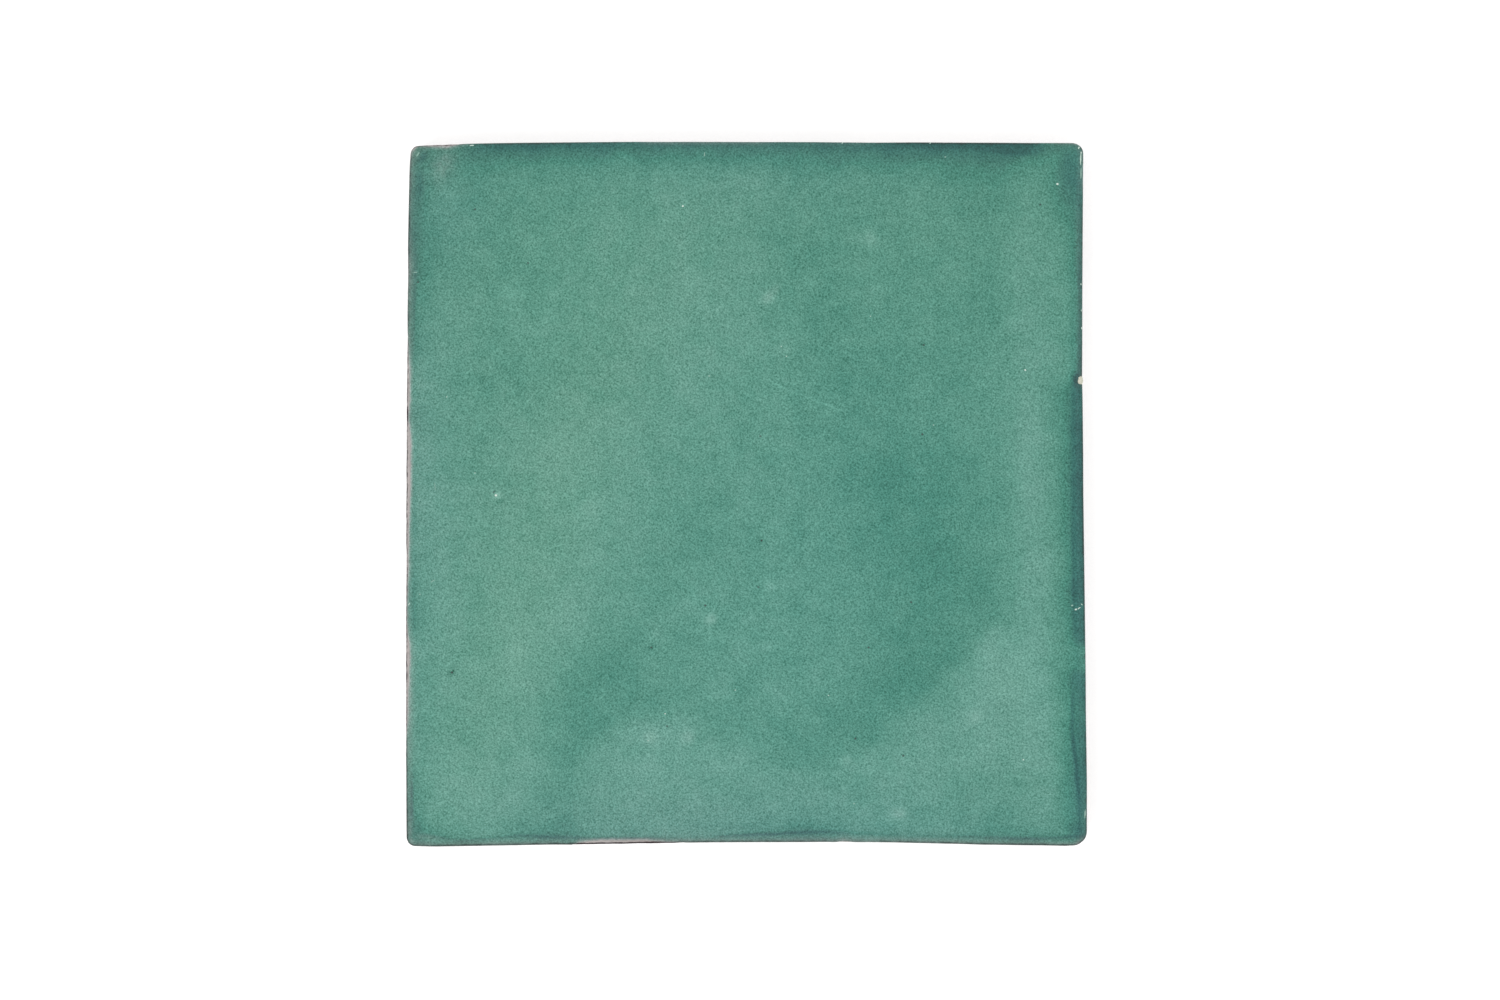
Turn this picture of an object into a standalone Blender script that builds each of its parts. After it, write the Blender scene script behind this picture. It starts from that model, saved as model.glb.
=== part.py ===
# A handmade square wall tile in one fired piece: a flat-backed slab of clay with a thick,
# gently uneven coat of sea-green glaze that rolls over at the edges and stops just short of
# them, so that a narrow lip of bare clay is left all round.
# It is modelled lying on its back. X runs across the tile, Y up it and Z out through the
# glazed face. The lengths are in metres.

import math

import bmesh
import bpy
from mathutils import Vector

MM = 0.001

# Outline of the tile, measured at the edge of the clay.
WIDTH = 103.3 * MM
LENGTH = 107.1 * MM

# How far each corner sits from the corner of a true rectangle, across and up.
# The order of every list of four is bottom left, bottom right, top right, top left.
CORNER_DRIFT = [
    (-0.29 * MM, -0.20 * MM),
    (0.30 * MM, -0.13 * MM),
    (-0.32 * MM, 0.02 * MM),
    (0.27 * MM, -0.34 * MM),
]
CORNER_RADIUS = [1.8 * MM, 2.6 * MM, 2.0 * MM, 1.9 * MM]

# How far the middle of each side bulges out (or is hollow, if negative), and how much of an
# S there is on top of that. The order is bottom, right, top, left.
SIDE_BOW = [-0.67 * MM, -0.28 * MM, 0.35 * MM, 0.17 * MM]
SIDE_SWAY = [0.09 * MM, 0.10 * MM, -0.11 * MM, 0.06 * MM]

# Heights above the flat back.
CLAY_THICKNESS = 5.5 * MM
GLAZE_THICKNESS = 0.65 * MM
CROWN_HEIGHT = 0.35 * MM

# The edge, from the glaze outwards and down to the back.
SHOULDER_WIDTH = 0.95 * MM
LIP_WIDTH = 0.40 * MM
LIP_FALL = 0.08 * MM
ARRIS_RADIUS = 0.25 * MM
SIDE_DRAFT = 0.35 * MM
BACK_ARRIS = 0.45 * MM
LEAST_RADIUS = 0.25 * MM

# Low mounds and hollows of the glazed face: across, up, reach and height of each.
SWELLS = [
    (15.8 * MM, 30.0 * MM, 15.0 * MM, -0.10 * MM),
    (27.5 * MM, -10.0 * MM, 15.0 * MM, -0.14 * MM),
    (17.0 * MM, -36.0 * MM, 12.0 * MM, -0.09 * MM),
    (-23.0 * MM, -30.0 * MM, 11.0 * MM, -0.12 * MM),
    (-37.5 * MM, 42.5 * MM, 9.0 * MM, -0.07 * MM),
    (-28.0 * MM, 0.0 * MM, 18.0 * MM, 0.10 * MM),
    (-10.0 * MM, 35.0 * MM, 14.0 * MM, 0.09 * MM),
    (-10.5 * MM, -43.0 * MM, 10.0 * MM, 0.10 * MM),
    (40.5 * MM, -33.0 * MM, 11.0 * MM, 0.08 * MM),
]

# How finely the piece is divided.
SIDE_STEPS = 26
HALF_CORNER_STEPS = 3
SHOULDER_STEPS = 4
ARRIS_STEPS = 2
CROWDING_TO_CORNERS = 0.12

GLAZE_COLOUR = (96, 150, 135)
GLAZE_ROUGHNESS = 0.3

RUN_STEPS = SIDE_STEPS + 2 * HALF_CORNER_STEPS


def linear(channel):
    """One colour channel from 0 to 255, as the linear value that a shader takes."""
    share = channel / 255
    if share <= 0.04045:
        return share / 12.92
    return ((share + 0.055) / 1.055) ** 2.4


def tile_corners():
    """The four sharp corners that the rounded ones are cut from."""
    places = []
    for (sign_x, sign_y), (drift_x, drift_y) in zip(
        [(-1, -1), (1, -1), (1, 1), (-1, 1)], CORNER_DRIFT
    ):
        places.append(
            Vector((sign_x * WIDTH / 2 + drift_x, sign_y * LENGTH / 2 + drift_y))
        )
    return places


def corner_arc(index, grow):
    """Centre, radius and first and last angle of one corner, with the outline grown."""
    places = tile_corners()
    here = places[index]
    before = (places[index - 1] - here).normalized()
    after = (places[(index + 1) % 4] - here).normalized()
    inward = (before + after).normalized()
    half = before.angle(after) / 2
    radius = max(CORNER_RADIUS[index] + grow, LEAST_RADIUS)
    grown = here - inward * grow / math.sin(half)
    centre = grown + inward * radius / math.sin(half)
    turn = math.pi - 2 * half
    side_normal = Vector((before.y, -before.x))
    if side_normal.dot(inward) > 0:
        side_normal = -side_normal
    first = math.atan2(side_normal.y, side_normal.x)
    return centre, radius, first, first + turn


def on_arc(arc, share):
    centre, radius, first, last = arc
    angle = first + (last - first) * share
    return centre + Vector((math.cos(angle), math.sin(angle))) * radius


def outline_run(index, grow):
    """One side of the outline, from the middle of a corner to the middle of the next."""
    start = corner_arc(index, grow)
    end = corner_arc((index + 1) % 4, grow)
    points = []
    for step in range(HALF_CORNER_STEPS):
        points.append(on_arc(start, 0.5 + 0.5 * step / HALF_CORNER_STEPS))
    first = on_arc(start, 1)
    last = on_arc(end, 0)
    along = last - first
    outward = Vector((along.y, -along.x)).normalized()
    for step in range(SIDE_STEPS + 1):
        even = step / SIDE_STEPS
        share = even - CROWDING_TO_CORNERS * math.sin(2 * math.pi * even)
        bow = SIDE_BOW[index] * math.sin(math.pi * share)
        sway = SIDE_SWAY[index] * math.sin(2 * math.pi * share)
        points.append(first + along * share + outward * (bow + sway))
    for step in range(1, HALF_CORNER_STEPS + 1):
        points.append(on_arc(end, 0.5 * step / HALF_CORNER_STEPS))
    return points


def face_height(place):
    """Height of the glazed surface: crowned, and uneven as the glaze settled."""
    across = 2 * place.x / WIDTH
    up = 2 * place.y / LENGTH
    height = CLAY_THICKNESS + GLAZE_THICKNESS
    height += CROWN_HEIGHT * (1 - across**4) * (1 - up**4)
    for x, y, reach, rise in SWELLS:
        distance = (place - Vector((x, y))).length / reach
        height += rise * math.exp(-distance * distance)
    return height


def blended(runs, i, j):
    """A point of the face, blended between the four runs of its border."""
    bottom, right, top, left = runs
    low = bottom[i]
    high = top[RUN_STEPS - i]
    near = left[RUN_STEPS - j]
    far = right[j]
    u_low = (low - bottom[0]).length / (bottom[-1] - bottom[0]).length
    u_high = (high - top[-1]).length / (top[0] - top[-1]).length
    v_near = (near - left[-1]).length / (left[0] - left[-1]).length
    v_far = (far - right[0]).length / (right[-1] - right[0]).length
    u = (u_low + u_high) / 2
    v = (v_near + v_far) / 2
    between = low * (1 - v) + high * v + near * (1 - u) + far * u
    twice = bottom[0] * (1 - u) * (1 - v) + bottom[-1] * u * (1 - v)
    twice += right[-1] * u * v + top[-1] * (1 - u) * v
    return between - twice


def edge_rings():
    """Offset from the outline and height rule of each ring outside the face."""
    rings = []
    start = -(LIP_WIDTH + SHOULDER_WIDTH)
    for step in range(1, SHOULDER_STEPS + 1):
        angle = math.pi / 2 * step / SHOULDER_STEPS
        rings.append((start + SHOULDER_WIDTH * math.sin(angle), math.cos(angle), 0.0))
    for step in range(ARRIS_STEPS + 1):
        angle = math.pi / 2 * step / ARRIS_STEPS
        offset = -ARRIS_RADIUS + ARRIS_RADIUS * math.sin(angle)
        drop = LIP_FALL + ARRIS_RADIUS * (1 - math.cos(angle))
        rings.append((offset, 0.0, drop))
    rings.append((-SIDE_DRAFT, 0.0, CLAY_THICKNESS - BACK_ARRIS))
    rings.append((-SIDE_DRAFT - BACK_ARRIS, 0.0, CLAY_THICKNESS))
    return rings


def build_tile():
    mesh = bpy.data.meshes.new("glazed_tile")
    bm = bmesh.new()

    # The glazed face is a grid pulled onto the outline, one shoulder and lip in from it.
    bmesh.ops.create_grid(bm, x_segments=RUN_STEPS, y_segments=RUN_STEPS, size=1)
    ring_index = bm.verts.layers.int.new("ring_index")
    runs = [outline_run(k, -(LIP_WIDTH + SHOULDER_WIDTH)) for k in range(4)]
    for vert in bm.verts:
        i = round((vert.co.x + 1) / 2 * RUN_STEPS)
        j = round((vert.co.y + 1) / 2 * RUN_STEPS)
        if j == 0:
            vert[ring_index] = i
        elif i == RUN_STEPS:
            vert[ring_index] = RUN_STEPS + j
        elif j == RUN_STEPS:
            vert[ring_index] = 3 * RUN_STEPS - i
        else:
            vert[ring_index] = 4 * RUN_STEPS - j
        place = blended(runs, i, j)
        vert.co = (place.x, place.y, face_height(place))

    # Each further ring is drawn out of the last: shoulder, lip, arris, side, back arris.
    rim = [edge for edge in bm.edges if edge.is_boundary]
    for grow, glaze_share, drop in edge_rings():
        drawn = bmesh.ops.extrude_edge_only(bm, edges=rim)["geom"]
        edges = [item for item in drawn if isinstance(item, bmesh.types.BMEdge)]
        rim = [edge for edge in edges if edge.is_boundary]
        points = []
        for k in range(4):
            points.extend(outline_run(k, grow)[:-1])
        for vert in {vert for edge in rim for vert in edge.verts}:
            place = points[vert[ring_index] % len(points)]
            height = CLAY_THICKNESS - drop
            height += glaze_share * (face_height(place) - CLAY_THICKNESS)
            vert.co = (place.x, place.y, height)

    # The back is one flat face.
    bmesh.ops.contextual_create(bm, geom=rim)
    bmesh.ops.recalc_face_normals(bm, faces=bm.faces)

    # The middle of the tile stands over the origin.
    low_x = min(vert.co.x for vert in bm.verts)
    high_x = max(vert.co.x for vert in bm.verts)
    low_y = min(vert.co.y for vert in bm.verts)
    high_y = max(vert.co.y for vert in bm.verts)
    middle = Vector(((low_x + high_x) / 2, (low_y + high_y) / 2, 0))
    bmesh.ops.translate(bm, verts=bm.verts, vec=-middle)

    bm.to_mesh(mesh)
    bm.free()
    return bpy.data.objects.new("glazed_tile", mesh)


def glaze_material():
    material = bpy.data.materials.new("sea_green_glaze")
    material.use_nodes = True
    shader = material.node_tree.nodes["Principled BSDF"]
    colour = [linear(channel) for channel in GLAZE_COLOUR]
    shader.inputs["Base Color"].default_value = (*colour, 1)
    shader.inputs["Roughness"].default_value = GLAZE_ROUGHNESS
    shader.inputs["Metallic"].default_value = 0
    return material


for old in list(bpy.data.objects):
    bpy.data.objects.remove(old, do_unlink=True)

collection = bpy.data.collections.new("ceramic_tile")
bpy.context.scene.collection.children.link(collection)
tile = build_tile()
tile.data.materials.append(glaze_material())
collection.objects.link(tile)
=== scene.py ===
# %% [markdown]
# # A handmade glazed wall tile
#
# The object is one fired piece: a slab of pale clay, pressed and trimmed by hand, with a thick
# coat of sea-green glaze melted onto its face. In this lesson the slab and the coat are two
# meshes, because they have different surfaces, and because the place where the coat thins out
# and shows the clay is the liveliest part of the tile. A grain of grit and a pinch of crumbs,
# which stuck to the glaze in the kiln, are two more.
#
# The measured solid of the tile is loaded first, and is hidden once the new pieces stand in for
# it.

# %% Load the measured tile
import math

import bmesh
import bpy
import numpy as np
from mathutils import Matrix, Vector, noise


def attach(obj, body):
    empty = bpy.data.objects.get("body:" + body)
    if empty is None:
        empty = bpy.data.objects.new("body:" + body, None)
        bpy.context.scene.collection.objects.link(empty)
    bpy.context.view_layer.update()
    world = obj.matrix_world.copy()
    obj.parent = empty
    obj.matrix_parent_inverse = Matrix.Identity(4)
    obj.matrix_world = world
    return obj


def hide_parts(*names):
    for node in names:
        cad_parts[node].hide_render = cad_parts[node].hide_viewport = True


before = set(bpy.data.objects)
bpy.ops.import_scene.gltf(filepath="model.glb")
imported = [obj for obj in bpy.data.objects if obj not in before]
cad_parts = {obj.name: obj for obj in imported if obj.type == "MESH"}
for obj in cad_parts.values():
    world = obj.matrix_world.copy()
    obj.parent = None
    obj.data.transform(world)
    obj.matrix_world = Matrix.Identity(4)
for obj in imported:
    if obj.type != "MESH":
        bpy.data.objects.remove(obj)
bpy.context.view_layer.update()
MM = 0.001

# %% [markdown]
# ## The outline
#
# No side of a hand-trimmed tile is straight. Each one is a bow with a little sway on it, and
# each corner is rounded by its own amount. The outline could be traced point by point, but a
# rule with one bow, one sway and one radius for each side says the same in a dozen numbers,
# and it can be asked for a copy drawn a little further in. All sizes are in millimetres, and
# the lists go round from the bottom side, or from the bottom left corner.

# %% Rule of the outline
CORNERS = np.array([(-51.94, -53.75), (51.95, -53.68), (51.33, 53.57), (-51.38, 53.21)])
RADII = [1.35, 2.2, 1.65, 1.35]
LEAST_RADIUS = 0.6
BOWS = [-0.67, -0.28, 0.35, 0.17]
SWAYS = [0.09, 0.10, -0.11, 0.06]
# Steps along a side and over half a corner. Each side gets as many as the grid has squares.
SIDE_STEPS = 206
HALF_CORNER_STEPS = 5
RUN = SIDE_STEPS + 2 * HALF_CORNER_STEPS
ROUND = 4 * RUN


def unit(vectors):
    """The vectors, each at a length of one."""
    return vectors / np.linalg.norm(vectors, axis=-1, keepdims=True)


def corner_arc(index, inset):
    """Centre, radius, start angle and turn of a corner, drawn in by the inset."""
    here = CORNERS[index]
    before = unit(CORNERS[index - 1] - here)
    after = unit(CORNERS[(index + 1) % 4] - here)
    half = math.acos(before @ after) / 2
    radius = max(RADII[index] - inset, LEAST_RADIUS)
    centre = here + unit(before + after) * (inset + radius) / math.sin(half)
    start = math.atan2(before[0], -before[1])
    return centre, radius, start, math.pi - 2 * half


def on_arc(arc, share):
    """The points at some shares of the way round a corner."""
    centre, radius, start, turn = arc
    angle = start + turn * np.asarray(share)
    return centre + radius * np.stack([np.cos(angle), np.sin(angle)], axis=-1)


def bulge(index, share):
    """How far a side stands out from its straight line."""
    wave = BOWS[index] * np.sin(np.pi * share)
    return wave + SWAYS[index] * np.sin(2 * np.pi * share)


def straight_part(index, inset):
    """Start, end and outward direction of the line that a side bows from."""
    start = on_arc(corner_arc(index, inset), 1)
    end = on_arc(corner_arc((index + 1) % 4, inset), 0)
    along = unit(end - start)
    return start, end, np.array([along[1], -along[0]])


def outline_run(index, inset):
    """One side, from the middle of its first corner to the middle of the next."""
    half = np.arange(HALF_CORNER_STEPS) / HALF_CORNER_STEPS / 2
    first = on_arc(corner_arc(index, inset), 0.5 + half)
    last = on_arc(corner_arc((index + 1) % 4, inset), half + 0.5 / HALF_CORNER_STEPS)
    start, end, outward = straight_part(index, inset)
    share = np.linspace(0, 1, SIDE_STEPS + 1)[:, None]
    side = start + (end - start) * share + outward * bulge(index, share)
    return np.concatenate([first, side, last])


def outline(inset):
    """The whole outline, with each point once."""
    return np.concatenate([outline_run(index, inset)[:-1] for index in range(4)])


edge_line = outline(0)
CORNERS = CORNERS - (edge_line.min(axis=0) + edge_line.max(axis=0)) / 2
# The way out at each point is read from two outlines, this far out and in.
LOOK_OUT = 0.3
outward_of = unit(outline(-LOOK_OUT) - outline(LOOK_OUT))
print("outline, mm:", np.ptp(outline(0), axis=0).round(2), "in", ROUND, "points")

# %% [markdown]
# The hand adds a last wobble, a tenth of a millimetre of it: too little for the rule, but
# enough to keep the edge from looking drawn with a ruler. Each list follows one side, from
# left to right or from bottom to top, as pairs of a place and a value, and the values between
# are read off by interpolation. All the lists of the rim further down are written this way.

# %% Wobble of the edge
WOBBLE = [
    [(-52, -.16), (-50, -.06), (-48, .03), (-46, .04), (-30, .03), (-26, .12), (-12, .1),
     (-8, .01), (0, .03), (7, .06), (12, .01), (15, .05), (18, 0), (22, 0), (26, .05),
     (32, .07), (36, .12), (41, .06), (46, -.02), (50, 0), (52, -.02)],
    [(-54, -.05), (-50, -.07), (-44, 0), (-34, -.06), (-28, -.03), (-6, -.04), (0, -.05),
     (6, 0), (14, -.02), (18, -.08), (24, -.03), (50, -.01), (54, .02)],
    [(-52, -.14), (-49, -.06), (-45, 0), (-38, 0), (-28, -.06), (-14, -.08), (4, -.09),
     (10, -.07), (20, -.1), (25, -.04), (38, -.06), (44, -.09), (49, -.06), (52, 0)],
    [(-54, -.12), (-42, -.04), (-39, .04), (-34, .08), (-18, .09), (-10, .03), (-7, .08),
     (8, .05), (20, .03), (23, -.02), (29, -.02), (34, .05), (42, .01), (48, -.05), (54, -.14)],
]
# The wobble is gone this far in. Each point is softened with two neighbours on either side.
WOBBLE_FADE = 2.2
SOFTENING = (0.1, 0.25, 0.3, 0.25, 0.1)


def at_places(pairs, places):
    """The values at the places, read off between the pairs of a list."""
    where, values = zip(*pairs)
    return np.interp(places, where, values)


def round_tile(lists):
    """The value at each point round the tile, softened a little so that corners join."""
    runs = []
    for index in range(4):
        run = outline_run(index, 0)[:-1]
        runs.append(at_places(lists[index], run[:, index % 2]))
    values = np.concatenate(runs)
    softened = np.zeros(ROUND)
    for shift, weight in zip(range(-2, 3), SOFTENING):
        softened += weight * np.roll(values, shift)
    return softened


wobble = round_tile(WOBBLE)


def edge_ring(inset):
    """The outline at an inset, with the wobble, which fades out inwards."""
    fade = np.clip(1 - inset / WOBBLE_FADE, 0, 1)
    return outline(inset) + outward_of * (fade * wobble)[:, None]


print("wobble, mm:", wobble.min().round(2), "to", wobble.max().round(2))

# %% [markdown]
# ## One way of building slab and coat
#
# Slab and coat have the same plan: a broad field, a rim that turns over, and a hidden closing
# face. A grid with rings of faces drawn out of its border gives that. The grid is pulled onto
# the outline so that no row of it has to end anywhere, and the rings follow the outline
# exactly, close together where the surface turns and wide apart where it is flat.
#
# Each point remembers its ring and its place round the tile. The heights come later, from
# whole arrays of points at once, which is quick and keeps the rules short.

# %% Grid and rings
def made_mesh(bm, name):
    """The mesh of what was built, which is then let go."""
    mesh = bpy.data.meshes.new(name)
    bm.to_mesh(mesh)
    bm.free()
    return mesh


def in_order(place):
    """One number that puts places in order by ring, row and column."""
    return (place.y - place.z * ROUND) * ROUND + place.x


def grid_with_rings(name, ring_count):
    """A closed mesh: a grid with so many rings drawn from its border, and a closing face."""
    bm = bmesh.new()
    bmesh.ops.create_grid(bm, x_segments=RUN, y_segments=RUN, size=RUN / 2)
    ring = bm.verts.layers.int.new("ring")
    around = bm.verts.layers.int.new("around")
    for vert in bm.verts:
        i, j = round(vert.co.x + RUN / 2), round(vert.co.y + RUN / 2)
        vert.co = (i, j, 0)
        if j == 0:
            vert[around] = i
        elif i == RUN:
            vert[around] = RUN + j
        elif j == RUN:
            vert[around] = 3 * RUN - i
        elif i == 0:
            vert[around] = 4 * RUN - j
    rim = [edge for edge in bm.edges if edge.is_boundary]
    for number in range(1, ring_count + 1):
        drawn = bmesh.ops.extrude_edge_only(bm, edges=rim)["geom"]
        verts = [item for item in drawn if isinstance(item, bmesh.types.BMVert)]
        edges = [item for item in drawn if isinstance(item, bmesh.types.BMEdge)]
        rim = [edge for edge in edges if edge.is_boundary]
        for vert in verts:
            vert[ring] = number
            vert.co.z = -number
    bmesh.ops.contextual_create(bm, geom=rim)
    bmesh.ops.recalc_face_normals(bm, faces=bm.faces)
    # Extruding gives the new parts in no fixed order, so they are sorted.
    bm.verts.sort(key=lambda vert: in_order(vert.co))
    bm.faces.sort(key=lambda face: in_order(face.calc_center_median()))
    return made_mesh(bm, name)


def taken(mesh, name):
    """The values of a whole-number layer, which is removed once it is read."""
    values = np.empty(len(mesh.vertices), np.int32)
    layer = mesh.attributes[name]
    layer.data.foreach_get("value", values)
    mesh.attributes.remove(layer)
    return values


print("grid:", RUN, "x", RUN, "squares")

# %% [markdown]
# The mesh so far only counts its steps. The real places come from the outline: points inside
# are blended from the four sides, and each ring takes the outline at its own inset.

# %% Places of the points
def on_grid(i, j, inset):
    """Places of grid points, blended from the four runs of the border."""
    low, far, high, near = [outline_run(index, inset) for index in range(4)]
    high, near = high[::-1], near[::-1]

    def shares(run):
        return np.linalg.norm(run - run[0], axis=1) / np.linalg.norm(run[-1] - run[0])

    u = ((shares(low)[i] + shares(high)[i]) / 2)[:, None]
    v = ((shares(near)[j] + shares(far)[j]) / 2)[:, None]
    between = low[i] * (1 - v) + high[i] * v + near[j] * (1 - u) + far[j] * u
    corners = low[0] * (1 - u) * (1 - v) + low[-1] * u * (1 - v)
    return between - corners - far[-1] * u * v - near[-1] * (1 - u) * v


def read_mesh(mesh, insets):
    """Plan place, ring number and place round the tile of each point."""
    ring, around = taken(mesh, "ring"), taken(mesh, "around")
    flat = np.empty(len(mesh.vertices) * 3)
    mesh.vertices.foreach_get("co", flat)
    steps = flat.reshape(-1, 3)[:, :2].round().astype(int)
    plan = on_grid(steps[:, 0], steps[:, 1], insets[0])
    for number, inset in enumerate(insets[1:], 1):
        here = ring == number
        plan[here] = edge_ring(inset)[around[here]]
    return plan, ring, around


print("a step of the grid, mm:", round(np.ptp(outline(0)[:, 0]) / RUN, 2))

# %% [markdown]
# ## The map for the bake
#
# When the tile goes to another program, its colours are baked into one square picture a
# piece. Seen from above the rim would be squeezed to nothing, so the map lays the rings flat
# round the grid, each as far out as its true distance over the surface. The hidden closing
# face gets a small square in the corner that is left.

# %% Flat map
# Shares of the map: face and rings, the free border, and the hidden face
MAP_SHARE = 0.94
MAP_BORDER = 0.005
HIDDEN_SHARE = 0.04


def lay_flat(mesh, plan, ring, around, insets, steps_out):
    """Writes the flat map of a mesh, with its rings laid out by their distances."""
    spread = np.cumsum([0.0, *steps_out])
    flat = plan.copy()
    for number in range(1, len(insets)):
        here = ring == number
        flat[here] = outline(insets[0] - spread[number])[around[here]]
    low, high = flat.min(axis=0), flat.max(axis=0)
    flat = (flat - low) / (high - low).max() * MAP_SHARE + MAP_BORDER
    corners = np.empty(len(mesh.loops), np.int32)
    mesh.loops.foreach_get("vertex_index", corners)
    places = flat[corners]
    hidden = max(mesh.polygons, key=lambda face: face.loop_total)
    span = slice(hidden.loop_start, hidden.loop_start + hidden.loop_total)
    places[span] = 1 - MAP_BORDER - HIDDEN_SHARE + places[span] * HIDDEN_SHARE
    layer = mesh.uv_layers.new(name="OFBake")
    layer.data.foreach_set("uv", places.astype(np.float32).ravel())


print("map: face and rings on", MAP_SHARE, "of its width")

# %% [markdown]
# ## How the glaze lies along each side
#
# Glaze is a glass that flows when it is hot. It draws back from some edges and leaves a lip of
# bare clay, and it runs over others and hangs there in a thick, dark bead. A painted mask could
# say the same as the lists below, but these numbers shape the mesh and colour it together, so
# the two can't drift apart. They are only as dense as the rim is lively, and the first two say
# where the glaze ends.

# %% Edge of the glaze
# Width of the bare lip. Below zero the glaze has run over the arris and down the side.
BARE_LIP = [
    [(-26.3, 0), (-25, .42), (-22, .58), (-18, .5), (-15, .42), (-12, .12), (-10, .05),
     (-7, 0), (13.5, 0), (15, .15), (16.5, 0), (48, 0), (50.5, .1)],
    [(-54, .1), (-51, -.1), (16, -.15), (17.3, .1), (18.5, -.15), (45, -.12), (47, 0),
     (54, .05)],
    [(-52, .22), (-50.6, .2), (-50, .08), (-49.5, .03), (-48.5, .2), (-47.7, .22),
     (-47.2, .05), (-46.6, .3), (-45, .3), (-44.4, .08), (-42, -.05), (-40, -.15), (-17, -.14),
     (-15, 0), (2, 0), (5, -.1), (18, -.05), (21, -.12), (26, -.32), (40, -.32), (44, -.15),
     (50, .05)],
    [(-54, .05), (-47, 0), (-41, 0), (-37, .08), (-31, .3), (-24, .55), (-21, .15), (-17, .12),
     (-12, .24), (-6, .36), (0, .55), (6, .6), (9.5, .6), (11, .2), (12.5, .2), (14, .45),
     (18, .38), (22, .1), (27, .02), (35, .08), (39, 0), (50.5, 0), (51.5, .1), (54, .2)],
]
# Width of the thin film at the glaze's edge, through which the clay shows.
FILM = [
    [(-52, .4), (-48, .5), (-44, .25), (-38, .4), (-28, .4), (-24, .2), (-14, .2), (-9, .4),
     (45, .4), (50, .3)],
    [(-54, .4), (-46, .3), (-40, .2), (20, .2), (45, .25), (54, .2)],
    [(-49, .2), (-46, .3), (-42, .2), (18, .25), (25, .15), (42, .15), (47, .2), (50, .15)],
    [(-54, .5), (-38, .4), (-32, .35), (-26, .22), (16, .2), (24, .35), (36, .45), (40, .25),
     (54, .45)],
]
# The film is milky from the clay under it, the more so the further the glaze has drawn back.
HAZE_START, HAZE_PER_MM = 0.3, 2.5
HAZE_LEAST, HAZE_MOST = 0.08, 0.9
bare_lip, film = round_tile(BARE_LIP), round_tile(FILM)
haze = np.clip(HAZE_START + HAZE_PER_MM * bare_lip, HAZE_LEAST, HAZE_MOST)
print("bare lip, mm:", bare_lip.min().round(2), "to", bare_lip.max().round(2))

# %% [markdown]
# Inside its edge the glaze is thick: a broad dark margin, where it was drawn together, and at
# the very edge a narrow bead. Each is a height in millimetres and a reach inwards.

# %% Margin and bead
# Extra glaze in the broad dark margin, and how far in it reaches.
MARGIN = [
    [(-52, .26), (-49, .25), (-45, .1), (-38, .05), (-30, .16), (-21, .04), (-16, .07),
     (-10, 0), (-4, 0), (5, .16), (10, .24), (13, .12), (17, .05), (32, .08), (44, .12),
     (48, .14), (50, .16), (52, .32)],
    [(-54, .2), (-50, .28), (-45, .34), (-38, .34), (-30, .3), (-27.3, .27), (-26.4, .1),
     (-23.4, .08), (-22.6, .28), (-18, .34), (10, .38), (16, .36), (18.5, .26), (30, .2),
     (40, .24), (48, .3), (54, .26)],
    [(-52, .25), (-47, .17), (-42, .22), (-38, .33), (15, .32), (22, .29), (36, .29),
     (42, .34), (46, .24), (52, .2)],
    [(-50, .25), (-46, .16), (-40, 0), (-25, 0), (-20, .08), (-10, .02), (-5, .05), (8, 0),
     (18, .02), (26, .18), (40, .28), (45, .24), (54, .2)],
]
MARGIN_REACH = [
    [(-52, 5), (-47, 2.5), (-30, 3), (10, 3), (30, 2), (46, 2.5), (52, 3)],
    [(-54, 3), (-44, 3.4), (-25, 3), (-15, 3.3), (16, 3.2), (19, 1.4), (32, 1.2), (38, 2.2),
     (48, 4.5), (54, 5.5)],
    [(-45, 5), (-38, 3.2), (0, 3.2), (15, 3.6), (24, 3.2), (42, 3.4), (47, 3.2), (52, 5.5)],
    [(-54, 3.5), (-46, 2.2), (20, 2.5), (30, 3), (54, 3.5)],
]
# Extra glaze in the bead that hangs at the very edge, and the bead's width.
BEAD = [
    [(0, 0)],
    [(-54, 0), (-46, .03), (-40, .02), (-31, .04), (-27, .04), (-26.4, 0), (-23.4, 0),
     (-22.6, .07), (16, .07), (18, .12), (28, .14), (40, .09), (46, .03), (54, 0)],
    [(-42, 0), (-38, .06), (-25, .06), (20, .02), (24, .1), (36, .12), (43, .14), (46, .04),
     (52, 0)],
    [(0, 0)],
]
BEAD_WIDTH = [
    [(0, 1)],
    [(-54, 1), (-42, 2.2), (-32, 2.1), (-26, 1.5), (-18, 1.9), (16, 1.7), (18.5, .8), (22, .6),
     (42, .8), (50, 1.2)],
    [(-52, 1), (-25, .9), (20, 1.2), (34, .9), (40, 1.9), (44, 2), (46, 1.2)],
    [(0, 1)],
]
print("highest margin, mm:", max(height for side in MARGIN for place, height in side))

# %% [markdown]
# Where the rolled edge meets the face there is a shallow crease. Glaze gathers in it, so it
# shows as a soft dark line that keeps step with the side.

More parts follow.
